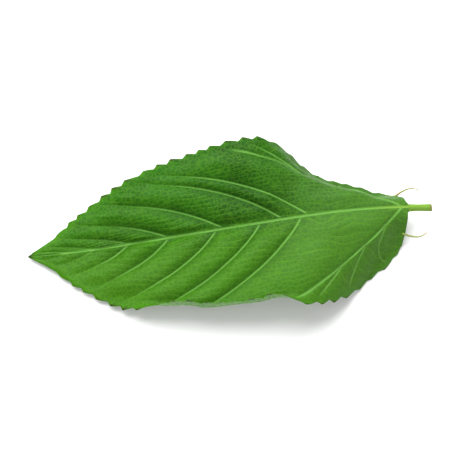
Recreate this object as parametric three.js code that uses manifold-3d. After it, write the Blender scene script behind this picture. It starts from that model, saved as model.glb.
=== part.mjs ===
// A fresh leaf of tossa jute, picked with a short stub of its stalk, lying face up on a flat surface.
// Stalk, midrib, blade, teeth and the two hair-like tails at its base grew as one piece: one closed solid.
//
// Millimetres. +X runs from the stalk to the tip and +Z is up. The origin is under the middle of
// the leaf's box.
// The leaf is laid out flat first: "along" runs up the midrib from the place where the stalk meets the blade,
// and "out" is the distance from the midrib. The flat leaf is then bent into its resting shape.

import * as THREE from 'three';
import { mergeVertices } from 'three/addons/utils/BufferGeometryUtils.js';
import Module from 'manifold-3d';

// Driving dimensions.
const bladeLength = 104;
const bladeThickness = 0.32;
const stalkLength = 7;
const stalkRadius = 0.95;
const stalkFlare = 0.1; // how much wider the stalk is at its cut end and where it meets the blade
const midribDepth = 1.5; // how far the midrib stands out of the underside where it meets the stalk
const midribTipDepth = 0.25;
const midribTipHalfWidth = 0.3;
const teethPerSide = 29;
const toothDepth = 0.85;
const toothCrest = 0.66; // where a tooth's point lies between two notches: it leans to the tip
const rimWidth = 1.7; // the strip of blade that carries the teeth
const teethStart = [0.07, 0.16]; // the shares of the margin over which the teeth grow to their full depth
const teethEnd = [0.86, 1]; // and over which they fade towards the tip
const tailLength = 6.5;
const tailRadius = 0.24;
const tailShare = 0.062; // where on the margin a tail grows

// Half of the blade's outline, without its teeth, for each side: [along, out] from the stalk to the tip.
const nearOutline = [
  [0, 1], [1.2, 8.4], [3.2, 14], [7.5, 18.8], [15, 22], [26, 24.4], [38, 25.8],
  [50, 25.8], [62, 24.2], [73, 20.8], [83, 15.8], [91, 10.2], [97, 5], [104, 0],
];
const farOutline = [
  [0, 1], [1, 7], [3.6, 11.4], [9, 15], [17.5, 18.6], [28, 21.8], [39, 23.4],
  [51, 22.8], [62, 21], [72, 18.2], [82, 13.9], [90, 9.2], [96.5, 4.4], [104, 0],
];

// The midrib's height over the surface: [along, height]. The stalk's cut end is at the first point.
const midribRise = [
  [-stalkLength, 5.4], [0, 7.2], [9, 8.8], [18, 9.3], [29, 8.6],
  [43, 6.8], [59, 4.4], [75, 2], [88, 0.2], [104, 0.4],
];

// Each side's attitude, in degrees up from level going out from the midrib. A strong nerve leaves the stalk
// on each side and reaches the margin at nerveShare of the margin's length. Near the stalk the blade folds
// down outside that nerve, like a roof. Further up it is cupped with its margin raised, and the near margin
// curls up.
const sides = {
  near: {
    sign: 1, outline: nearOutline, nerveShare: 0.4, nerveBend: 0.94, roof: -9, fold: -53, roofEnds: [9, 35],
    cup: 5, cupEdge: 3, curl: 100, veins: [29, 40, 52, 65, 76, 85.5, 93],
  },
  far: {
    sign: -1, outline: farOutline, nerveShare: 0.5, nerveBend: 1.12, roof: -13, fold: -63, roofEnds: [20, 40],
    cup: 17, cupEdge: 4, curl: 0, veins: [27, 34, 50, 65, 76, 85.5, 93],
  },
};
const nerveStart = 1.3; // where the nerves part from the midrib
const fanShare = 0.45; // the share of the margin that is fed by veins from the two nerves
const veinCrowding = 1.45; // above 1, the side veins' feet crowd together towards the tip
const fanOpening = 7; // degrees between a vein's foot and the straight way to its end, beside the stalk
const veinOpening = 22; // and further up the midrib
const fanLength = 23; // how far up the midrib the one gives way to the other
const veinReach = 0.42; // how far along a vein its bend lies
const foldHalfWidth = 2.7; // the fold is a soft ridge
const curlWidth = 4.4; // how much of the blade the curled margin takes
const curlStart = [28, 40]; // where the curl sets in, and where it is full
const curlEnd = [64, 82];
const midribShoulder = [0.3, 2]; // the blade is level on the midrib, and has its full slope outside this
const quilting = 0.65; // how far the blade swells between two side veins
const waveHeight = 0.6; // the margin's slow rise and fall
const waveLength = 31;
const contactSoftness = 0.9; // how gradually the blade comes down onto the surface

// Mesh.
const columns = 12; // from the midrib to the margin
const midribColumns = 3;
const rimColumn = columns - 1; // where the strip that carries the teeth starts
const stalkLoops = 5;
const tailSides = 6;
const tailSteps = 7;

const rad = THREE.MathUtils.degToRad;
const { smoothstep, lerp, clamp } = THREE.MathUtils;

// A smooth function through [x, y] points.
function curveThrough(points) {
  const spline = new THREE.SplineCurve(points.map(([x, y]) => new THREE.Vector2(x, y)));
  const samples = spline.getPoints(40 * points.length);
  return (x) => {
    const after = samples.findIndex((p) => p.x > x);
    if (after === 0) return samples[0].y;
    if (after < 0) return samples.at(-1).y;
    const [a, b] = [samples[after - 1], samples[after]];
    return lerp(a.y, b.y, (x - a.x) / (b.x - a.x));
  };
}

const midribHeight = curveThrough(midribRise);

function midribHalfWidth(along) {
  return lerp(stalkRadius, midribTipHalfWidth, clamp(along / bladeLength, 0, 1) ** 0.6);
}

// The outline of one side as a function of the share of its length, from the stalk to the tip.
function marginOf(outline) {
  const flat = new THREE.CatmullRomCurve3(outline.map(([along, out]) => new THREE.Vector3(along, out, 0)));
  flat.arcLengthDivisions = 600;
  return (share) => {
    const point = flat.getPointAt(share);
    const way = flat.getTangentAt(share);
    return { point, outward: new THREE.Vector3(-way.y, way.x, 0) };
  };
}

// A tooth's height, from 0 in a notch to 1 at its point.
function tooth(share) {
  const place = (share * teethPerSide) % 1;
  if (place < toothCrest) return (place / toothCrest) ** 0.85;
  return ((1 - place) / (1 - toothCrest)) ** 1.3;
}

function toothedMargin(margin, share) {
  const { point, outward } = margin(share);
  const depth = toothDepth * smoothstep(share, ...teethStart) * (1 - smoothstep(share, ...teethEnd));
  return point.clone().addScaledVector(outward, depth * tooth(share));
}

// Where the side vein that ends at this share of the margin leaves the midrib.
function veinStart(share) {
  if (share <= fanShare) return nerveStart * (share / fanShare);
  const rest = (share - fanShare) / (1 - fanShare);
  return nerveStart + (bladeLength - nerveStart) * (1 - (1 - rest) ** (1 / veinCrowding));
}

// A side vein's curve in the flat leaf: it leaves the midrib steeply and bends towards the tip.
function veinCurve(start, end, share) {
  const chord = Math.atan2(end.y, end.x - start);
  const opening = lerp(fanOpening, veinOpening, smoothstep(start, 0, fanLength)) * smoothstep(share, 0, 0.15);
  const reach = veinReach * Math.hypot(end.x - start, end.y);
  const foot = chord + Math.min(rad(opening), 0.9 * chord);
  const bend = new THREE.Vector2(start + reach * Math.cos(foot), reach * Math.sin(foot));
  return (out) => {
    // The curve's parameter where it is this far out: the root of a quadratic.
    const a = end.y - 2 * bend.y;
    const b = 2 * bend.y;
    const t = Math.abs(a) < 1e-9 ? out / b : (-b + Math.sqrt(b * b + 4 * a * out)) / (2 * a);
    return (1 - t) ** 2 * start + 2 * t * (1 - t) * bend.x + t * t * end.x;
  };
}

function nerveOut(side, along) {
  const end = side.margin(side.nerveShare).point;
  return end.y * (Math.max(along, 0) / end.x) ** side.nerveBend;
}

// The blade's slope going out from the midrib, in radians.
function slope(side, along, out, width) {
  const foldLine = Math.max(nerveOut(side, along), foldHalfWidth);
  const folded = smoothstep(out, foldLine - foldHalfWidth, foldLine + foldHalfWidth);
  const roof = lerp(side.roof, side.fold, folded);
  const cup = lerp(side.cup, side.cupEdge, clamp(out / width, 0, 1));
  const rim = side.curl * smoothstep(out, width - curlWidth, width - 0.25 * curlWidth);
  const curled = cup + rim * smoothstep(along, ...curlStart) * (1 - smoothstep(along, ...curlEnd));
  const roofness = 1 - smoothstep(along, ...side.roofEnds);
  return rad(lerp(curled, roof, roofness)) * smoothstep(out, ...midribShoulder);
}

// Keeps a height from passing through the surface, and lets it come down on it gently.
function onSurface(height) {
  return 0.5 * (height + Math.hypot(height, contactSoftness));
}

// The resting shape of the leaf's middle layer: a point of the flat leaf, bent.
function bent(side, along, out) {
  const steps = 20;
  const width = side.halfWidth(along);
  let across = 0;
  let height = midribHeight(along);
  for (let i = 0; i < steps; i++) {
    const angle = slope(side, along, ((i + 0.5) / steps) * out, width);
    across += (Math.cos(angle) * out) / steps;
    height += (Math.sin(angle) * out) / steps;
  }
  const edge = smoothstep(out / Math.max(width, 1), 0.5, 1);
  const wave = Math.sin((2 * Math.PI * along) / waveLength + side.sign);
  height += waveHeight * edge * smoothstep(along, 30, 50) * wave;
  return new THREE.Vector3(along, side.sign * across, onSurface(height));
}

function normalAt(side, along, out) {
  const step = 0.05;
  const here = bent(side, along, out);
  const ahead = bent(side, along + step, out).sub(here);
  const outward = bent(side, along, out + step).sub(here);
  return ahead.cross(outward).multiplyScalar(side.sign).normalize();
}

// The swelling between side veins: none on a vein, and most halfway between two.
function swelling(side, start, out, width) {
  const veins = [nerveStart, ...side.veins, bladeLength];
  const next = veins.findIndex((v) => v > start);
  if (next < 1) return 0;
  const between = (start - veins[next - 1]) / (veins[next] - veins[next - 1]);
  const room = smoothstep(out / width, 0, 0.25) * (1 - smoothstep(out / width, 0.8, 1));
  return quilting * Math.sin(Math.PI * clamp(between, 0, 1)) * room * (1 - 0.6 * smoothstep(start, 70, 104));
}

// How far out each column of a row lies: the midrib, then the blade, then the strip that carries the teeth.
function columnOut(column, strip, width) {
  if (column <= midribColumns) return (strip * column) / midribColumns;
  const rim = Math.min(rimWidth, 0.35 * (width - strip));
  return lerp(strip, width - rim, (column - midribColumns) / (rimColumn - midribColumns));
}

// One row of one side of the blade: its points from the midrib to the margin, above and below.
function bladeRow(side, share) {
  const start = veinStart(share);
  const end = side.margin(share).point;
  const alongAt = veinCurve(start, end, share);
  const strip = Math.min(midribHalfWidth(start), 0.5 * end.y);
  const depth = lerp(midribDepth, midribTipDepth, clamp(start / bladeLength, 0, 1) ** 0.7);
  return Array.from({ length: columns + 1 }, (_, column) => {
    const onMargin = column > rimColumn;
    const flat = onMargin ? toothedMargin(side.margin, share) : { y: columnOut(column, strip, end.y) };
    const along = onMargin ? flat.x : alongAt(flat.y);
    const point = bent(side, along, flat.y);
    const normal = normalAt(side, along, flat.y);
    const relief = onMargin ? 0 : swelling(side, start, flat.y, end.y);
    const rib = depth * Math.sqrt(Math.max(0, 1 - (column / midribColumns) ** 2));
    return {
      above: point.clone().addScaledVector(normal, relief + bladeThickness / 2),
      below: point.clone().addScaledVector(normal, relief - bladeThickness / 2 - rib),
    };
  });
}

// A closed loop round the leaf: over the top from the far margin to the near one, and back underneath.
function loopOf(near, far) {
  return [
    ...far.slice().reverse().map((p) => p.above),
    ...near.slice(1).map((p) => p.above),
    ...near.slice().reverse().map((p) => p.below),
    ...far.slice(1).map((p) => p.below),
  ];
}

function stalkRow(side, share) {
  const along = lerp(-stalkLength, 0, share);
  const radius = stalkRadius * (1 + stalkFlare * (1 - smoothstep(share, 0, 0.5) + smoothstep(share, 0.6, 1)));
  const centre = midribHeight(along) + bladeThickness / 2 - stalkRadius;
  return Array.from({ length: columns + 1 }, (_, i) => {
    const angle = (Math.PI / 2) * (1 - i / (columns + 0.5));
    const across = side.sign * radius * Math.cos(angle);
    const up = radius * Math.sin(angle);
    return {
      above: new THREE.Vector3(along, across, centre + up),
      below: new THREE.Vector3(along, across, centre - up),
    };
  });
}

// Closes a run of loops into one surface, with a point at each end.
function skinOver(loops, first, last) {
  const size = loops[0].length;
  const points = [first, ...loops.flat(), last];
  const at = (loop, i) => 1 + loop * size + (i % size);
  const faces = [];
  for (let i = 0; i < size; i++) {
    faces.push(0, at(0, i), at(0, i + 1));
    faces.push(points.length - 1, at(loops.length - 1, i + 1), at(loops.length - 1, i));
    for (let loop = 0; loop + 1 < loops.length; loop++) {
      const corners = [at(loop, i), at(loop + 1, i), at(loop + 1, i + 1), at(loop, i + 1)];
      const [a, b, c, d] = corners.map((corner) => points[corner]);
      const order = a.distanceTo(c) < b.distanceTo(d) ? [0, 1, 2, 0, 2, 3] : [0, 1, 3, 1, 2, 3];
      faces.push(...order.map((corner) => corners[corner]));
    }
  }
  const geometry = new THREE.BufferGeometry().setFromPoints(points);
  return geometry.setIndex(faces);
}

function bladeAndStalk({ near, far }) {
  const loops = [];
  for (let i = 0; i < stalkLoops; i++) {
    const share = i / stalkLoops;
    loops.push(loopOf(stalkRow(near, share), stalkRow(far, share)));
  }
  for (let i = 0; i < teethPerSide; i++) {
    for (const place of [0, toothCrest]) {
      const share = Math.max(i + place, 0.25) / teethPerSide;
      loops.push(loopOf(bladeRow(near, share), bladeRow(far, share)));
    }
  }
  const cutEnd = loops[0].reduce((sum, p) => sum.add(p), new THREE.Vector3()).divideScalar(loops[0].length);
  const tip = bent(near, bladeLength, 0);
  return skinOver(loops, cutEnd, tip);
}

// The tail that each side's lowest tooth ends in: a fine tapering hair that bends back beside the stalk.
function tail(side) {
  const root = side.margin(tailShare).point;
  const from = bent(side, root.x + 2 * tailRadius, root.y - 2 * tailRadius);
  const route = new THREE.CatmullRomCurve3([
    from,
    from.clone().add(new THREE.Vector3(-0.3 * tailLength, side.sign * 0.16 * tailLength, 0.25)),
    from.clone().add(new THREE.Vector3(-0.66 * tailLength, side.sign * 0.24 * tailLength, 0.55)),
    from.clone().add(new THREE.Vector3(-0.98 * tailLength, side.sign * 0.12 * tailLength, 0.9)),
  ]);
  const up = new THREE.Vector3(0, 0, 1);
  const loops = Array.from({ length: tailSteps }, (_, step) => {
    const share = step / tailSteps;
    const centre = route.getPointAt(share);
    const way = route.getTangentAt(share);
    const across = new THREE.Vector3().crossVectors(way, up).normalize();
    const over = new THREE.Vector3().crossVectors(across, way);
    const radius = tailRadius * (1 - 0.75 * share);
    return Array.from({ length: tailSides }, (_, i) => {
      const angle = (2 * Math.PI * i) / tailSides;
      return centre.clone()
        .addScaledVector(across, radius * Math.cos(angle))
        .addScaledVector(over, radius * Math.sin(angle));
    });
  });
  return skinOver(loops, route.getPointAt(0), route.getPointAt(1));
}

const wasm = await Module();
wasm.setup();

function solidOf(geometry) {
  const merged = mergeVertices(geometry, 1e-4);
  const solid = new wasm.Manifold(new wasm.Mesh({
    numProp: 3,
    vertProperties: merged.attributes.position.array,
    triVerts: new Uint32Array(merged.index.array),
  }));
  return solid;
}

function geometryOf(solid) {
  const { numProp, vertProperties, triVerts } = solid.getMesh();
  const positions = new THREE.InterleavedBuffer(vertProperties, numProp);
  const geometry = new THREE.BufferGeometry();
  geometry.setAttribute('position', new THREE.InterleavedBufferAttribute(positions, 3, 0));
  geometry.setIndex(new THREE.BufferAttribute(triVerts, 1));
  return geometry;
}

for (const side of Object.values(sides)) {
  side.margin = marginOf(side.outline);
  const samples = Array.from({ length: 400 }, (_, i) => side.margin((i + 1) / 400).point);
  side.halfWidth = (along) => {
    const after = samples.findIndex((p) => p.x >= along);
    return Math.max(after < 0 ? 0 : samples[after].y, 1);
  };
}

const leaf = solidOf(bladeAndStalk(sides)).add(solidOf(tail(sides.near))).add(solidOf(tail(sides.far)));
const geometry = geometryOf(leaf);
geometry.computeBoundingBox();
const { min, max } = geometry.boundingBox;
geometry.translate(-(min.x + max.x) / 2, -(min.y + max.y) / 2, -min.z);
geometry.computeVertexNormals();

const green = new THREE.MeshStandardMaterial({ color: 0x3f8a22, roughness: 0.5, metalness: 0 });
const mesh = new THREE.Mesh(geometry, green);
mesh.name = 'leaf';
const group = new THREE.Group();
group.add(mesh);

export default group;
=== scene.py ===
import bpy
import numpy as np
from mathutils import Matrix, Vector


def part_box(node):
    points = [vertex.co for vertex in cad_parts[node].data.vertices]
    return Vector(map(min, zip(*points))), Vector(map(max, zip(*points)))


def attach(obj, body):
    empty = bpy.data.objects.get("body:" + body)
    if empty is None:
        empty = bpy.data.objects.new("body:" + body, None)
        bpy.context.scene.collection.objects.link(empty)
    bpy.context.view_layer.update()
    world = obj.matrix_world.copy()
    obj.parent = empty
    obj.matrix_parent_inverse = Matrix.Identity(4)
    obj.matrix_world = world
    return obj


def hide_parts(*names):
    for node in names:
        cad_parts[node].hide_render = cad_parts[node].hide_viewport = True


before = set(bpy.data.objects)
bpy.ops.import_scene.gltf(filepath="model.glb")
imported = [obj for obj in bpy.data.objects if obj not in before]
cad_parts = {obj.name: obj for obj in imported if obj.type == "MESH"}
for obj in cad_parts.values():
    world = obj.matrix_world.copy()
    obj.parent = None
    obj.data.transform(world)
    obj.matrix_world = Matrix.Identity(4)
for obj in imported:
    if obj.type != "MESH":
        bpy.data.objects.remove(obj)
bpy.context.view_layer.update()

# A fresh leaf of tossa jute, picked with a short stub of its stalk, lying face up on a pale surface.
# The leaf is one closed mesh with its midrib, nerves, side veins, ladder veins and teeth as real relief.
#
# Lengths are in millimetres until the mesh is made. The leaf is laid out flat first: "along" runs up the
# midrib from the place where the stalk meets the blade, and "out" is the distance from the midrib. The flat
# leaf is then bent into its resting shape. A row of the mesh follows a side vein from the midrib to the
# margin, and "share" says how far up the margin the row ends, from 0 at the stalk to 1 at the tip.

LEAF_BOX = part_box("leaf")
MM = 0.001

# The leaf's size and shape.
BLADE_LENGTH = 104
BLADE_THICKNESS = 0.3
EDGE_THICKNESS = 0.14
STALK_LENGTH = 7
STALK_RADIUS = 0.95
STALK_FLARE = 0.1
MIDRIB_DEPTH = 1.5
MIDRIB_TIP_DEPTH = 0.25
MIDRIB_TIP_HALF_WIDTH = 0.3
TEETH = 29
TOOTH_DEPTH = 0.95
TOOTH_CREST = 0.66
TOOTH_DRIFT = 0.17
TOOTH_VARIATION = 0.16
RIM_WIDTH = 1.7
TEETH_START = (0.07, 0.16)
TEETH_END = (0.84, 0.965)
TAIL_LENGTH = 7
TAIL_RADIUS = 0.34
TAIL_SHARE = 0.062

NEAR_OUTLINE = [
    (0, 1), (1.2, 8.4), (3.2, 14), (7.5, 18.8), (15, 22), (26, 24.4), (38, 25.8),
    (50, 25.8), (62, 24.2), (73, 20.8), (83, 15.8), (91, 10.2), (97, 5), (104, 0),
]
FAR_OUTLINE = [
    (0, 1), (1, 7), (3.6, 11.4), (9, 15), (17.5, 18.6), (28, 21.8), (39, 23.4),
    (51, 22.8), (62, 21), (72, 18.2), (82, 13.9), (90, 9.2), (96.5, 4.4), (104, 0),
]
MIDRIB_RISE = [
    (-STALK_LENGTH, 5.4), (0, 7.2), (9, 8.8), (18, 9.3), (29, 8.6),
    (43, 6.8), (59, 4.4), (75, 2), (88, 0.2), (104, 0.4),
]
NERVE_START = 1.3
FAN_SHARE = 0.45
VEIN_CROWDING = 1.45
FAN_OPENING = 7
VEIN_OPENING = 22
FAN_LENGTH = 23
VEIN_REACH = 0.42
FOLD_HALF_WIDTH = 2.7
CURL_WIDTH = 4.4
CURL_START = (28, 40)
CURL_END = (64, 82)
MIDRIB_SHOULDER = (0.3, 2)
WAVE_HEIGHT = 0.6
WAVE_LENGTH = 31
CONTACT_SOFTNESS = 0.9

# Relief of the veins.
QUILTING = 1.25
PILLOW = 0.07
RUNG_GAP = 2.7
GROOVE_DEPTH = 0.12
NERVE_GROOVE_DEPTH = 0.1
MIDRIB_GROOVE_DEPTH = 0.16
VEIN_HALF_WIDTH = 0.42
NERVE_HALF_WIDTH = 0.55
RUNG_HALF_WIDTH = 0.35
VEIN_DEPTH = 0.42
VEIN_END_DEPTH = 0.12
RUNG_DEPTH = 0.07
BROAD_RIPPLE = (0.16, 7, 5)
FINE_RIPPLE = (0.05, 2.2, 6)
PHASE_SHIFT = 20
LOBE_BRANCHES = 5

# The mesh.
ROWS = 392
STRIP_COLUMNS = 7
MIDDLE_COLUMNS = 45
RIM_COLUMNS = 7
COLUMNS = STRIP_COLUMNS + MIDDLE_COLUMNS + RIM_COLUMNS
STALK_ROWS = 12


def mix(a, b, t):
    return a + (b - a) * t


def smoothstep(x, low, high):
    t = np.clip((x - low) / (high - low), 0, 1)
    return t * t * (3 - 2 * t)


def curve_through(points, steps=60):
    """Points along a smooth curve that passes through the given ones (a centripetal Catmull-Rom curve)."""
    p = np.array(points, float)
    p = np.vstack([2 * p[0] - p[1], p, 2 * p[-1] - p[-2]])
    knots = np.concatenate([[0], np.cumsum(np.linalg.norm(np.diff(p, axis=0), axis=1) ** 0.5)])
    stretches = []
    for i in range(1, len(p) - 2):
        t = np.linspace(knots[i], knots[i + 1], steps, endpoint=False)[:, None]

        def between(a, b, first, last):
            return mix(a, b, (t - knots[first]) / (knots[last] - knots[first]))

        edges = [between(p[j], p[j + 1], j, j + 1) for j in (i - 1, i, i + 1)]
        halves = [between(edges[j], edges[j + 1], i - 1 + j, i + 1 + j) for j in (0, 1)]
        stretches.append(between(halves[0], halves[1], i, i + 1))
    return np.vstack(stretches + [p[-2:-1]])


MIDRIB_CURVE = curve_through(MIDRIB_RISE)


def midrib_height(along):
    return np.interp(along, MIDRIB_CURVE[:, 0], MIDRIB_CURVE[:, 1])


def midrib_half_width(along):
    return mix(STALK_RADIUS, MIDRIB_TIP_HALF_WIDTH, np.clip(along / BLADE_LENGTH, 0, 1) ** 0.6)


class Side:
    """One half of the leaf: its outline, how it folds and cups, and where its side veins leave the midrib."""

    def __init__(self, sign, outline, nerve, roof, cup, curl, veins):
        self.sign = sign
        self.outline = curve_through(outline)
        self.nerve_share, self.nerve_bend = nerve
        self.roof, self.fold, self.roof_ends = roof
        self.cup, self.cup_edge = cup
        self.curl = curl
        self.veins = veins
        steps = np.linalg.norm(np.diff(self.outline, axis=0), axis=1)
        self.shares = np.concatenate([[0], np.cumsum(steps)]) / steps.sum()

    def margin(self, share):
        return np.stack([np.interp(share, self.shares, self.outline[:, i]) for i in (0, 1)], axis=-1)

    def margin_outward(self, share):
        way = self.margin(np.minimum(share + 0.004, 1)) - self.margin(np.maximum(share - 0.004, 0))
        way /= np.linalg.norm(way, axis=-1, keepdims=True)
        return np.stack([-way[..., 1], way[..., 0]], axis=-1)

    def share_of_row(self, row):
        """Where on this side's margin a row ends. The row at FAN_SHARE ends where this side's nerve does."""
        return row + (self.nerve_share - FAN_SHARE) * np.sin(np.pi * row ** 0.868)

    def half_width(self, along):
        return np.maximum(np.interp(along, self.outline[:, 0], self.outline[:, 1]), 1)

    def nerve_out(self, along):
        end = self.margin(self.nerve_share)
        return end[1] * (np.maximum(along, 0) / end[0]) ** self.nerve_bend


NEAR = Side(
    sign=1, outline=NEAR_OUTLINE, nerve=(0.4, 0.94), roof=(-9, -53, (9, 35)), cup=(5, 3), curl=100,
    veins=[29, 40, 52, 65, 76, 85.5, 93],
)
FAR = Side(
    sign=-1, outline=FAR_OUTLINE, nerve=(0.5, 1.12), roof=(-13, -63, (20, 40)), cup=(17, 4), curl=0,
    veins=[27, 34, 50, 65, 76, 85.5, 93],
)


def tooth(share):
    """A tooth's height, from 0 in a notch to 1 at its point. The teeth aren't quite evenly spaced."""
    drift = TOOTH_DRIFT * (np.sin(23 * share) + 0.6 * np.sin(57 * share + 1))
    place = (share * TEETH + drift) % 1
    rising = (place / TOOTH_CREST) ** 0.85
    falling = (np.maximum(1 - place, 0) / (1 - TOOTH_CREST)) ** 1.3
    return np.where(place < TOOTH_CREST, rising, falling)


def tooth_reach(share):
    """How far the teeth stand out of the outline."""
    depth = TOOTH_DEPTH * (1 + TOOTH_VARIATION * np.sin(41 * share + 2))
    return depth * smoothstep(share, *TEETH_START) * (1 - smoothstep(share, *TEETH_END)) * tooth(share)


def vein_start(row):
    """Where a row of the mesh leaves the midrib. Those up to FAN_SHARE fan out from the stalk."""
    rest = np.maximum(row - FAN_SHARE, 0) / (1 - FAN_SHARE)
    above = NERVE_START + (BLADE_LENGTH - NERVE_START) * (1 - (1 - rest) ** (1 / VEIN_CROWDING))
    return np.where(row <= FAN_SHARE, NERVE_START * row / FAN_SHARE, above)


def vein_along(start, end, share, out):
    """How far up the leaf a side vein has come where it is this far out. It leaves the midrib steeply."""
    chord = np.arctan2(end[..., 1], end[..., 0] - start)
    opening = mix(FAN_OPENING, VEIN_OPENING, smoothstep(start, 0, FAN_LENGTH)) * smoothstep(share, 0, 0.15)
    reach = VEIN_REACH * np.hypot(end[..., 0] - start, end[..., 1])
    foot = chord + np.minimum(np.radians(opening), 0.9 * chord)
    bend_along = start + reach * np.cos(foot)
    bend_out = reach * np.sin(foot)
    a = end[..., 1] - 2 * bend_out
    a = np.where(np.abs(a) < 1e-6, 1e-6, a)
    t = (-bend_out + np.sqrt(np.maximum(bend_out ** 2 + a * out, 0))) / a
    return (1 - t) ** 2 * start + 2 * t * (1 - t) * bend_along + t * t * end[..., 0]


def slope(side, along, out, width):
    """The blade's slope going out from the midrib, in radians."""
    fold_line = np.maximum(side.nerve_out(along), FOLD_HALF_WIDTH)
    folded = smoothstep(out, fold_line - FOLD_HALF_WIDTH, fold_line + FOLD_HALF_WIDTH)
    roof = mix(side.roof, side.fold, folded)
    cup = mix(side.cup, side.cup_edge, np.clip(out / width, 0, 1))
    rim = side.curl * smoothstep(out, width - CURL_WIDTH, width - 0.25 * CURL_WIDTH)
    curled = cup + rim * smoothstep(along, *CURL_START) * (1 - smoothstep(along, *CURL_END))
    roofness = 1 - smoothstep(along, *side.roof_ends)
    return np.radians(mix(curled, roof, roofness)) * smoothstep(out, *MIDRIB_SHOULDER)


def bent(side, along, out, steps=24):
    """The resting shape of the leaf's middle layer: points of the flat leaf, bent."""
    width = side.half_width(along)
    across = np.zeros_like(along)
    height = midrib_height(along)
    for i in range(steps):
        angle = slope(side, along, (i + 0.5) / steps * out, width)
        across = across + np.cos(angle) * out / steps
        height = height + np.sin(angle) * out / steps
    edge = smoothstep(out / width, 0.5, 1)
    wave = np.sin(2 * np.pi * along / WAVE_LENGTH + side.sign)
    height = height + WAVE_HEIGHT * edge * smoothstep(along, 30, 50) * wave
    height = 0.5 * (height + np.hypot(height, CONTACT_SOFTNESS))
    return np.stack([along, side.sign * across, height], axis=-1)


def normals(side, along, out, step=0.05):
    here = bent(side, along, out)
    ahead = bent(side, along + step, out) - here
    outward = bent(side, along, out + step) - here
    normal = np.cross(ahead, outward) * side.sign
    return normal / np.linalg.norm(normal, axis=-1, keepdims=True)


def column_outs(strip, width):
    """How far out each column of every row lies: midrib, then blade, then the rim that carries the teeth."""
    rim = np.minimum(RIM_WIDTH, 0.35 * (width - strip))
    parts = [
        strip * np.linspace(0, 1, STRIP_COLUMNS + 1)[:-1],
        strip + (width - rim - strip) * np.linspace(0, 1, MIDDLE_COLUMNS + 1)[:-1],
        width - rim + rim * np.linspace(0, 1, RIM_COLUMNS + 1),
    ]
    return np.concatenate(parts, axis=1)


def gradient_length(field, along, out):
    """How fast a field on the mesh changes per millimetre of the flat leaf."""
    along_k, along_j = np.gradient(along)
    out_k, out_j = np.gradient(out)
    field_k, field_j = np.gradient(field)
    turn = along_k * out_j - along_j * out_k
    turn = np.where(np.abs(turn) < 1e-5, 1e-5, turn)
    by_along = (field_k * out_j - field_j * out_k) / turn
    by_out = (field_j * along_k - field_k * along_j) / turn
    return np.hypot(by_along, by_out)


def to_nearest(phase):
    return np.abs(phase - np.round(phase))


def soft_noise(along, out, size, seed):
    """A smooth irregular field, about -1 to 1, whose bumps are about this many millimetres across."""
    draw = np.random.default_rng(seed)
    total = np.zeros_like(along)
    for _ in range(10):
        way = draw.uniform(0, 2 * np.pi)
        speed = draw.uniform(0.6, 1.4) * np.pi / size
        turn = draw.uniform(0, 2 * np.pi)
        total += np.sin(speed * (along * np.cos(way) + out * np.sin(way)) + turn)
    return total / 10 ** 0.5


def branch_foot(row, reach):
    """Where on the nerve, from 0 to 1, the branch through a point of the basal lobe leaves it."""
    below = 1 - row / FAN_SHARE
    low, high = np.full_like(reach, -2.0), np.ones_like(reach)
    for _ in range(30):
        foot = (low + high) / 2
        way_out = np.maximum(reach - foot, 0) / (1 - foot)
        too_low = (1 - foot) ** 2.2 * way_out ** 0.65 > below
        low, high = np.where(too_low, foot, low), np.where(too_low, high, foot)
    return foot


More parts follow.
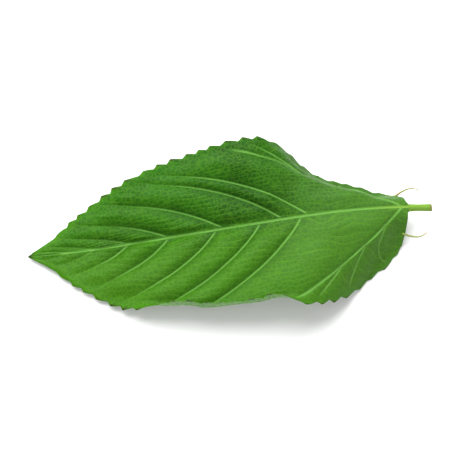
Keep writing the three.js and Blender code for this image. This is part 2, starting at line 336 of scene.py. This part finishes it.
class Blade:
    """Everything that is known of one side's blade at each point of its mesh."""

    def __init__(self, side, row):
        row = row[:, None]
        share = side.share_of_row(row)
        start = vein_start(row)
        end = side.margin(share)
        strip = np.minimum(midrib_half_width(start), 0.5 * end[..., 1])
        out = column_outs(strip, end[..., 1])
        along = vein_along(start, end, share, out)
        self.to_margin = end[..., 1] - out
        rim = np.minimum(RIM_WIDTH, 0.35 * (end[..., 1] - strip))
        lift = tooth_reach(share) * np.clip(1 - self.to_margin / rim, 0, 1) ** 1.5
        outward = side.margin_outward(share)
        along = along + lift * outward[..., 0]
        out = out + lift * outward[..., 1]
        self.along, self.out, self.row = along, out, row + 0 * out
        self.lift = lift
        self.side = side
        self.measure_veins(start + 0 * out, end[..., 1])
        self.shape()

    def measure_veins(self, start, width):
        side, along, out = self.side, self.along, self.out
        feet = [NERVE_START, *side.veins, BLADE_LENGTH]
        inner = np.interp(start, feet, np.arange(len(feet)))
        # Outside the nerve, branches leave it on its outer side and run to the margin of the basal lobe.
        outer = LOBE_BRANCHES * branch_foot(self.row, out / width)
        self.nerve = (self.row - FAN_SHARE) / gradient_length(self.row, along, out)
        outside = self.row < FAN_SHARE
        self.phase = np.where(outside, -np.maximum(outer, 0), inner)
        spread = np.where(outside, gradient_length(outer, along, out), gradient_length(inner, along, out))
        self.band = np.clip(1 / np.maximum(spread, 0.02), 0.5, 16)
        self.vein = to_nearest(self.phase) * self.band
        way = np.hypot(np.diff(along, axis=1, prepend=along[:, :1]), np.diff(out, axis=1, prepend=0))
        run = np.cumsum(way, axis=1)
        offsets = np.random.default_rng(3 + side.sign).uniform(0, 1, 40)
        shift = offsets[np.floor(self.phase).astype(int) + 12]
        self.rung = run / RUNG_GAP + shift + 0.3 * soft_noise(along, out * side.sign, 4.5, 11)

    def shape(self):
        side, along, out = self.side, self.along, self.out
        reach = out / np.maximum(out + self.to_margin, 1e-6)
        middle = bent(side, along, out)
        normal = normals(side, along, out)
        off_midrib = smoothstep(reach, 0, 0.22)
        room = off_midrib * (1 - smoothstep(reach, 0.84, 1))
        in_band = to_nearest(self.phase) * 2
        crown = np.sin(np.pi / 2 * in_band) ** 0.9
        fade = 1 - 0.6 * smoothstep(along, 70, 104)
        lobe = np.where(self.row < FAN_SHARE, 0.35 * smoothstep(-self.phase, 0, 1), 1)
        swell = QUILTING * crown * room * fade * lobe * np.clip(self.band / 7, 0, 1)
        pillow = PILLOW * (1 - np.cos(2 * np.pi * self.rung)) / 2 * room * crown
        ripple = np.zeros_like(along)
        for height, size, seed in (BROAD_RIPPLE, FINE_RIPPLE):
            ripple += height * soft_noise(along, out * side.sign, size, seed) * off_midrib
        relief = swell + pillow + ripple
        vein_half = VEIN_HALF_WIDTH * (1 - 0.6 * reach)
        vein_there = off_midrib * (1 - smoothstep(reach, 0.86, 0.97))
        vein_there = np.where(self.row < FAN_SHARE, smoothstep(-self.phase, 0.4, 0.8), 1) * vein_there
        groove = np.exp(-(self.vein / vein_half) ** 2) * vein_there
        nerve_there = smoothstep(along, 0.5, 4) * (1 - smoothstep(reach, 0.86, 0.97))
        nerve = np.exp(-(self.nerve / NERVE_HALF_WIDTH) ** 2) * nerve_there
        midrib = np.clip(1 - (out / midrib_half_width(along)) ** 2, 0, 1)
        depth = mix(MIDRIB_DEPTH, MIDRIB_TIP_DEPTH, np.clip(along / BLADE_LENGTH, 0, 1) ** 0.7)
        midrib_groove = MIDRIB_GROOVE_DEPTH * np.exp(-(out / (0.6 * midrib_half_width(along))) ** 2)
        edge = smoothstep(self.to_margin, 0, 1.4)
        half = mix(EDGE_THICKNESS, BLADE_THICKNESS, edge) / 2
        top = relief + half - GROOVE_DEPTH * groove - NERVE_GROOVE_DEPTH * nerve - midrib_groove
        fall = mix(VEIN_DEPTH, VEIN_END_DEPTH, reach)
        rib = np.sqrt(midrib) * depth + fall * groove + 0.7 * fall * nerve
        from_rung = to_nearest(self.rung) * RUNG_GAP
        rung_rib = RUNG_DEPTH * np.exp(-(from_rung / RUNG_HALF_WIDTH) ** 2) * room
        bottom = relief - half - rib - rung_rib
        self.above = middle + normal * top[..., None]
        self.below = middle + normal * bottom[..., None]

    def marks(self, under):
        """What the material is told at each point."""
        flat = np.zeros_like(self.along)
        return {
            "along": self.along,
            "out": self.out * self.side.sign,
            "phase": self.phase + PHASE_SHIFT,
            "band": self.band,
            "rung": self.rung,
            "nerve": self.nerve,
            "edge": self.to_margin,
            "tooth": self.lift / TOOTH_DEPTH,
            "under": flat + under,
            "stalk": flat,
        }


def stalk_half(side, share):
    """One half of the stalk's loops, above and below, from the cut end to the blade."""
    along = mix(-STALK_LENGTH, 0, share)[:, None]
    flare = 1 - smoothstep(along / STALK_LENGTH + 1, 0, 0.5) + smoothstep(along / STALK_LENGTH + 1, 0.6, 1)
    radius = STALK_RADIUS * (1 + STALK_FLARE * flare)
    angle = np.pi / 2 * (1 - np.arange(COLUMNS + 1) / (COLUMNS + 0.5))[None, :]
    centre = midrib_height(along) + BLADE_THICKNESS / 2 - STALK_RADIUS
    across = side.sign * radius * np.cos(angle)
    up = radius * np.sin(angle)
    spine = along + 0 * angle
    return np.stack([spine, across, centre + up], -1), np.stack([spine, across, centre - up], -1)


def around(near_above, far_above, near_below, far_below):
    """Joins four fans of columns into closed loops: over the top from the far margin, and back underneath."""
    return np.concatenate(
        [far_above[:, ::-1], near_above[:, 1:], near_below[:, ::-1], far_below[:, 1:]], axis=1
    )


def skin(rings, first, last):
    """Points and faces of a run of loops closed by a point at each end."""
    count, size = rings.shape[:2]
    points = np.vstack([first, rings.reshape(-1, 3), last])
    ring = 1 + np.arange(count - 1)[:, None] * size
    here = np.arange(size)[None, :]
    there = (here + 1) % size
    quads = np.stack([ring + here, ring + size + here, ring + size + there, ring + there], -1).reshape(-1, 4)
    end = len(points) - 1
    start_fan = [(0, 1 + i, 1 + (i + 1) % size) for i in range(size)]
    base = 1 + (count - 1) * size
    end_fan = [(end, base + (i + 1) % size, base + i) for i in range(size)]
    return points, quads, start_fan + end_fan


def add_mesh(name, points, quads, triangles, marks, material):
    mesh = bpy.data.meshes.new(name)
    mesh.from_pydata(points * MM, [], quads.tolist() + triangles)
    for mark, values in marks.items():
        layer = mesh.attributes.new(mark, "FLOAT", "POINT")
        layer.data.foreach_set("value", np.asarray(values, dtype=np.float32))
    mesh.polygons.foreach_set("use_smooth", [True] * len(mesh.polygons))
    mesh.update()
    piece = bpy.data.objects.new(name, mesh)
    bpy.context.collection.objects.link(piece)
    mesh.materials.append(material)
    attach(piece, "root")
    return piece


def to_frame(points):
    """Moves the leaf's points to the place of the CAD leaf, in millimetres."""
    low, high = (np.array(corner) / MM for corner in LEAF_BOX)
    shift = (low + high) / 2 - (points.min(axis=0) + points.max(axis=0)) / 2
    shift[2] = low[2] - points[:, 2].min()
    return shift


def make_leaf(material):
    row = np.linspace(0.25 / TEETH, 1 - 0.12 / TEETH, ROWS)
    near, far = Blade(NEAR, row), Blade(FAR, row)
    blade = around(near.above, far.above, near.below, far.below)
    stalk_share = np.arange(STALK_ROWS) / STALK_ROWS
    near_stalk, far_stalk = stalk_half(NEAR, stalk_share), stalk_half(FAR, stalk_share)
    stalk = around(near_stalk[0], far_stalk[0], near_stalk[1], far_stalk[1])
    rings = np.concatenate([stalk, blade])
    tip = bent(NEAR, np.array([float(BLADE_LENGTH)]), np.array([0.0]))[0]
    points, quads, triangles = skin(rings, stalk[0].mean(axis=0), tip)
    top = [blade_side.marks(0) for blade_side in (near, far)]
    bottom = [blade_side.marks(1) for blade_side in (near, far)]
    marks = {}
    for name in top[0]:
        on_blade = around(top[0][name], top[1][name], bottom[0][name], bottom[1][name])
        on_stalk = np.repeat(on_blade[:1], STALK_ROWS, axis=0)
        if name == "stalk":
            on_stalk = np.ones_like(on_stalk)
        if name == "along":
            on_stalk = np.repeat(mix(-STALK_LENGTH, 0, stalk_share)[:, None], on_stalk.shape[1], axis=1)
        values = np.concatenate([on_stalk, on_blade])
        marks[name] = np.concatenate([[values[0, 0]], values.ravel(), [values[-1, 0]]])
    shift = to_frame(points)
    return add_mesh("jute_leaf", points + shift, quads, triangles, marks, material), shift


def make_tail(side, shift, material, sides=8, steps=22):
    """The fine tapering hair that each side's lowest tooth ends in: it bends back beside the stalk."""
    root = side.margin(TAIL_SHARE)
    foot = bent(side, np.array([root[0] + 2 * TAIL_RADIUS]), np.array([root[1] - 2 * TAIL_RADIUS]))[0]
    reaches = [(0, 0, 0), (-0.3, 0.16, 0.25), (-0.66, 0.24, 0.55), (-0.98, 0.12, 0.9)]
    route = [foot + (TAIL_LENGTH * x, side.sign * TAIL_LENGTH * y, z) for x, y, z in reaches]
    route = curve_through(route, 12)[:: max(1, 36 // steps)]
    way = np.gradient(route, axis=0)
    way /= np.linalg.norm(way, axis=1, keepdims=True)
    across = np.cross(way, (0, 0, 1))
    across /= np.linalg.norm(across, axis=1, keepdims=True)
    over = np.cross(across, way)
    turn = 2 * np.pi * np.arange(sides) / sides
    radius = TAIL_RADIUS * (1 - 0.65 * np.linspace(0, 1, len(route)))
    spokes = across[:, None] * np.cos(turn)[None, :, None] + over[:, None] * np.sin(turn)[None, :, None]
    rings = route[:, None] + spokes * radius[:, None, None]
    points, quads, triangles = skin(rings[:-1], route[0], route[-1])
    name = "basal_tail_near" if side.sign > 0 else "basal_tail_far"
    return add_mesh(name, points + shift, quads, triangles, {}, material)


class Nodes:
    """A material's nodes, made and joined one call at a time."""

    def __init__(self, name):
        self.material = bpy.data.materials.new(name)
        self.material.use_nodes = True
        self.tree = self.material.node_tree
        self.shader = self.tree.nodes["Principled BSDF"]

    def node(self, kind, inputs=(), **settings):
        made = self.tree.nodes.new(kind)
        for key, value in settings.items():
            setattr(made, key, value)
        for key, value in dict(inputs).items():
            self.put(made.inputs[key], value)
        return made

    def put(self, socket, value):
        if isinstance(value, bpy.types.NodeSocket):
            self.tree.links.new(value, socket)
        else:
            socket.default_value = value

    def mark(self, name):
        return self.node("ShaderNodeAttribute", attribute_name=name).outputs["Fac"]

    def math(self, operation, *values):
        return self.node("ShaderNodeMath", enumerate(values), operation=operation).outputs[0]

    def ramp(self, value, low, high, start=0.0, end=1.0):
        inputs = {"Value": value, "From Min": low, "From Max": high, "To Min": start, "To Max": end}
        kind = {"interpolation_type": "SMOOTHSTEP"}
        return self.node("ShaderNodeMapRange", inputs, **kind).outputs["Result"]

    def noise(self, scale, detail=3.0, roughness=0.5, vector=None):
        inputs = {"Scale": scale, "Detail": detail, "Roughness": roughness}
        if vector is not None:
            inputs["Vector"] = vector
        return self.node("ShaderNodeTexNoise", inputs).outputs["Fac"]

    def blend(self, factor, a, b, how="MIX"):
        made = self.node("ShaderNodeMix", data_type="RGBA", blend_type=how)
        self.put(made.inputs[0], factor)
        self.put(made.inputs[6], a)
        self.put(made.inputs[7], b)
        return made.outputs[2]

    def tint(self, colour, mask, strength, other):
        """The colour turned towards another one, by the mask times the strength."""
        return self.blend(self.math("MULTIPLY", mask, strength), colour, other)

    def line(self, gap, inner, outer):
        """1 on a line and 0 beside it, from the distance to the line."""
        return self.ramp(gap, inner, outer, 1.0, 0.0)

    def place(self):
        return self.node("ShaderNodeTexCoord").outputs["Object"]

    def nearest(self, phase):
        """The distance to the nearest whole number."""
        return self.math("PINGPONG", phase, 0.5)


# Dark patches of the leaf's own colour, also used for the painted shade beside the veins.
DARK_PATCH_AND_SHADE_GREEN = (0.006, 0.046, 0.0006, 1)
LEAF_GREEN = (0.012, 0.084, 0.0012, 1)
FRESH_AND_LIT_GREEN = (0.046, 0.160, 0.004, 1)
# A painted sheen colour, laid on the base of the upper face.
PAINTED_SHEEN_GREEN = (0.068, 0.160, 0.030, 1)
NET_GREEN = (0.080, 0.230, 0.012, 1)
VEIN_GREEN = (0.140, 0.350, 0.060, 1)
UNDER_GREEN = (0.150, 0.270, 0.105, 1)
UNDER_VEIN = (0.270, 0.410, 0.190, 1)
STALK_GREEN = (0.150, 0.290, 0.035, 1)
CUT_BROWN = (0.180, 0.130, 0.045, 1)
TOOTH_BROWN = (0.025, 0.018, 0.006, 1)
TAIL_BROWN = (0.300, 0.200, 0.060, 1)


# Scales of the material's textures, in bumps a metre, and its surface.
PATCH_SCALE = 75
NET_SCALE = 780
GRAIN_SCALE = 1500
SHINE_SCALE = 420
SKIN_SCALE = 2600
ROUGHNESS = (0.42, 0.56)
UNDER_ROUGHER = 0.2
SPECULAR = 0.07


def bare_lobe(n):
    """1 beside the stalk, outside the nerve and before its first branch, where the phase is level."""
    level = n.math("COMPARE", n.mark("phase"), float(PHASE_SHIFT), 0.3)
    outside = n.math("LESS_THAN", n.mark("nerve"), 0.0)
    return n.math("MULTIPLY", level, outside)


class VeinMasks:
    """How strongly each kind of vein shows at a point, from 0 to 1, and the painted shade beside the side
    veins. Distances are in millimetres.
    """

    def __init__(self, n):
        along, edge = n.mark("along"), n.mark("edge")
        from_midrib = n.math("ABSOLUTE", n.mark("out"))
        inside = n.ramp(edge, 0.8, 3.0)
        net = {"Vector": n.place(), "Scale": NET_SCALE}
        cells = n.node("ShaderNodeTexVoronoi", net, feature="DISTANCE_TO_EDGE")
        self.net = n.line(cells.outputs["Distance"], 0.03, 0.16)
        from_rung = n.math("MULTIPLY", n.nearest(n.mark("rung")), RUNG_GAP)
        self.rungs = n.math("MULTIPLY", n.line(from_rung, 0.06, 0.32), inside)

        # In the basal lobe there is no side vein before the nerve's first branch.
        veined = n.math("SUBTRACT", 1.0, bare_lobe(n))
        from_vein = n.math("MULTIPLY", n.nearest(n.mark("phase")), n.mark("band"))
        veins = n.math("MULTIPLY", n.line(from_vein, 0.08, 0.38), n.ramp(edge, 0.6, 5.0))
        veins = n.math("MULTIPLY", veins, veined)
        veins = n.math("MULTIPLY", veins, n.ramp(from_midrib, 0.2, 1.2))
        # Painted shade: a band beside each side vein, darker towards the vein, in place of the shade in its
        # groove.
        painted_vein_shade = n.math("MULTIPLY", n.line(from_vein, 0.3, 2.6), n.ramp(edge, 1.0, 6.0))
        self.painted_vein_shade = n.math("MULTIPLY", n.math("MULTIPLY", painted_vein_shade, veined), n.ramp(along, 22, 40))

        nerve = n.math("MULTIPLY", n.line(n.math("ABSOLUTE", n.mark("nerve")), 0.12, 0.5), inside)
        self.midrib = n.line(from_midrib, 0.16, 0.55)
        lines = n.math("MAXIMUM", n.math("MAXIMUM", veins, nerve), self.midrib)
        self.lines = n.math("MULTIPLY", lines, n.ramp(along, 90, 103, 1.0, 0.3))


def upper_colour(n, masks, patches):
    """The upper face: the near half painted lighter and the far half darker, as painted light and shade,
    paler at the base as a painted sheen, and fresher towards the tip.
    """
    along = n.mark("along")
    green = n.blend(patches, DARK_PATCH_AND_SHADE_GREEN, LEAF_GREEN)
    # Painted light and shade: the near half is tinted lighter and yellower and the far half stays darker, for
    # how the light falls on the two cupped halves.
    green = n.tint(green, n.ramp(n.mark("out"), -6, 8), 0.55, FRESH_AND_LIT_GREEN)
    # Painted sheen: the base is blended towards a pale grey-green, in place of the soft reflection of the
    # light there.
    green = n.blend(n.ramp(along, 8, 46, 0.42, 0.0), green, PAINTED_SHEEN_GREEN)
    green = n.tint(green, n.ramp(along, 40, 104), 0.22, FRESH_AND_LIT_GREEN)
    grain = n.ramp(n.noise(GRAIN_SCALE, 2, 0.6, n.place()), 0.35, 0.7)
    green = n.tint(green, grain, 0.16, FRESH_AND_LIT_GREEN)
    green = n.tint(green, masks.net, 0.25, NET_GREEN)
    green = n.tint(green, masks.rungs, 0.3, NET_GREEN)
    # Painted shade beside the side veins.
    green = n.tint(green, masks.painted_vein_shade, 0.42, DARK_PATCH_AND_SHADE_GREEN)
    return n.tint(green, masks.lines, 0.6, VEIN_GREEN)


def under_colour(n, masks, patches):
    """The underside: paler and duller, with every vein raised and pale."""
    green = n.tint(UNDER_GREEN, patches, 0.25, LEAF_GREEN)
    small = n.math("MULTIPLY", n.math("MAXIMUM", masks.rungs, masks.net), 0.5)
    return n.tint(green, n.math("MAXIMUM", masks.lines, small), 0.8, UNDER_VEIN)


def edge_colour(n, masks, colour):
    """The rim, the brown points of the teeth and the tip, and the stalk with its cut end."""
    along, edge, stalk = n.mark("along"), n.mark("edge"), n.mark("stalk")
    colour = n.tint(colour, n.line(edge, 0.0, 0.35), 0.5, FRESH_AND_LIT_GREEN)
    points = n.math("MULTIPLY", n.ramp(n.mark("tooth"), 0.55, 0.95), n.line(edge, 0.1, 0.6))
    colour = n.tint(colour, points, 0.75, TOOTH_BROWN)
    colour = n.tint(colour, n.ramp(along, 101.6, 103.6), 0.9, TOOTH_BROWN)
    stalk_end = n.math("MULTIPLY", masks.midrib, n.ramp(along, 0, 14, 0.9, 0.0))
    colour = n.blend(n.math("MAXIMUM", stalk, stalk_end), colour, STALK_GREEN)
    cut = n.line(along, 0.01 - STALK_LENGTH, 0.8 - STALK_LENGTH)
    return n.tint(colour, cut, stalk, CUT_BROWN)


def leaf_bump(n, masks):
    """The skin's fine grain, with the veins a little sunk."""
    fine = n.noise(SKIN_SCALE, 3, 0.6, n.place())
    height = n.math("MULTIPLY", fine, 0.03)
    for mask, depth in ((masks.net, 0.03), (masks.rungs, 0.05), (masks.lines, 0.05)):
        height = n.math("SUBTRACT", height, n.math("MULTIPLY", mask, depth))
    bump = n.node("ShaderNodeBump", {"Height": height, "Strength": 0.6, "Distance": 0.001})
    return bump.outputs["Normal"]


def leaf_material():
    n = Nodes("leaf_blade")
    masks = VeinMasks(n)
    under = n.mark("under")
    patches = n.ramp(n.noise(PATCH_SCALE, 3, 0.55, n.place()), 0.36, 0.66)
    colour = n.blend(under, upper_colour(n, masks, patches), under_colour(n, masks, patches))
    n.put(n.shader.inputs["Base Color"], edge_colour(n, masks, colour))
    rough = n.ramp(n.noise(SHINE_SCALE, 3, 0.6, n.place()), 0.3, 0.7, *ROUGHNESS)
    rough = n.math("ADD", rough, n.math("MULTIPLY", under, UNDER_ROUGHER))
    n.put(n.shader.inputs["Roughness"], rough)
    n.shader.inputs["Specular IOR Level"].default_value = SPECULAR
    n.shader.inputs["Subsurface Weight"].default_value = 0.12
    n.shader.inputs["Subsurface Radius"].default_value = (0.0012, 0.0024, 0.0005)
    n.shader.inputs["Subsurface Scale"].default_value = 0.4
    n.put(n.shader.inputs["Normal"], leaf_bump(n, masks))
    return n.material


def tail_material():
    n = Nodes("leaf_tail")
    streaks = n.ramp(n.noise(900, 2, 0.5, n.place()), 0.3, 0.7)
    n.put(n.shader.inputs["Base Color"], n.blend(streaks, STALK_GREEN, TAIL_BROWN))
    n.shader.inputs["Roughness"].default_value = 0.5
    return n.material


# The studio, in metres and degrees.
FLOOR_HALF = 3.0
WORLD_STRENGTH = 0.64
CAMERA_WAY = (83.3, 68)
LENS = 120
SENSOR = 36
FRAME_MARGIN = 1.12


def floor_material():
    n = Nodes("pale_floor")
    shade = n.ramp(n.noise(6, 2, 0.5, n.place()), 0.3, 0.7)
    n.put(n.shader.inputs["Base Color"], n.blend(shade, (0.86, 0.86, 0.86, 1), (0.88, 0.88, 0.88, 1)))
    n.shader.inputs["Roughness"].default_value = 0.7
    n.shader.inputs["Specular IOR Level"].default_value = 0.2
    return n.material


def make_floor():
    half = FLOOR_HALF
    mesh = bpy.data.meshes.new("floor")
    corners = [(-half, -half, 0), (half, -half, 0), (half, half, 0), (-half, half, 0)]
    mesh.from_pydata(corners, [], [(0, 1, 2, 3)])
    floor = bpy.data.objects.new("floor", mesh)
    bpy.context.collection.objects.link(floor)
    mesh.materials.append(floor_material())


def toward(azimuth, elevation):
    """The way from the leaf towards a point at this azimuth from +X and this elevation, in degrees."""
    a, e = np.radians(azimuth), np.radians(elevation)
    return Vector((np.cos(e) * np.cos(a), np.cos(e) * np.sin(a), np.sin(e)))


def aim(thing, target, way, distance):
    thing.location = target + way * distance
    thing.rotation_euler = (-way).to_track_quat("-Z", "Y").to_euler()
    bpy.context.collection.objects.link(thing)


def make_light(name, target, azimuth, elevation, distance, size, power):
    lamp = bpy.data.lights.new(name, "AREA")
    lamp.shape = "DISK"
    lamp.size = size
    lamp.energy = power
    aim(bpy.data.objects.new(name, lamp), target, toward(azimuth, elevation), distance)


def make_world():
    world = bpy.data.worlds.new("studio")
    world.use_nodes = True
    background = world.node_tree.nodes["Background"]
    background.inputs["Color"].default_value = (1, 1, 1, 1)
    background.inputs["Strength"].default_value = WORLD_STRENGTH
    bpy.context.scene.world = world


def make_camera(target):
    lens = bpy.data.cameras.new("camera")
    lens.lens = LENS
    lens.sensor_width = SENSOR
    lens.clip_start = 0.01
    camera = bpy.data.objects.new("camera", lens)
    length = LEAF_BOX[1][0] - LEAF_BOX[0][0]
    distance = length * FRAME_MARGIN * lens.lens / lens.sensor_width
    aim(camera, target, toward(*CAMERA_WAY), distance)
    bpy.context.scene.camera = camera


blade_material = leaf_material()
leaf, place_shift = make_leaf(blade_material)
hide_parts("leaf")
tails = tail_material()
for half in (NEAR, FAR):
    make_tail(half, place_shift, tails)
make_floor()
middle_of_leaf = (Vector(LEAF_BOX[0]) + Vector(LEAF_BOX[1])) / 2
make_light("key", middle_of_leaf, 285, 50, 0.9, 1.1, 18.5)
make_light("fill", middle_of_leaf, 100, 40, 1.1, 0.9, 3)
make_world()
make_camera(middle_of_leaf)
bpy.context.scene.view_settings.view_transform = "Standard"
